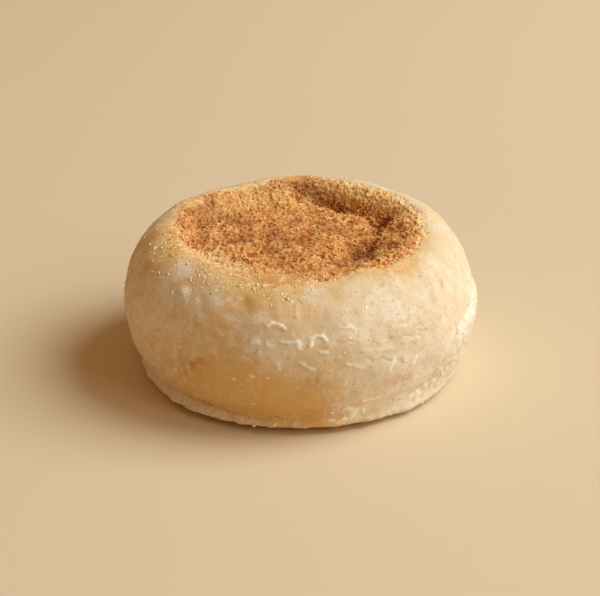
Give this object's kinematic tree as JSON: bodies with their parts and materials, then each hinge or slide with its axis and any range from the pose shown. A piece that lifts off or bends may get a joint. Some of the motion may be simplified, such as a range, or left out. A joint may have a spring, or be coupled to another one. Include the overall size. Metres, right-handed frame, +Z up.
{
  "type": "english muffin",
  "caption": "Round griddled English muffin with pale floury sides, a flat base and a sunken toasted top.",
  "frame": {"origin": "on the surface the muffin rests on, under the middle of its bounding box", "axes": "+Z up through the toasted top; -Y is the front, where the seam is faintest; +X is the side where the folded lip climbs highest"},
  "size_m": [0.0884, 0.0882, 0.0372],
  "materials": {
    "crust": "matte"
  },
  "bodies": {
    "root": {"english_muffin": "crust"}
  },
  "joints": []
}
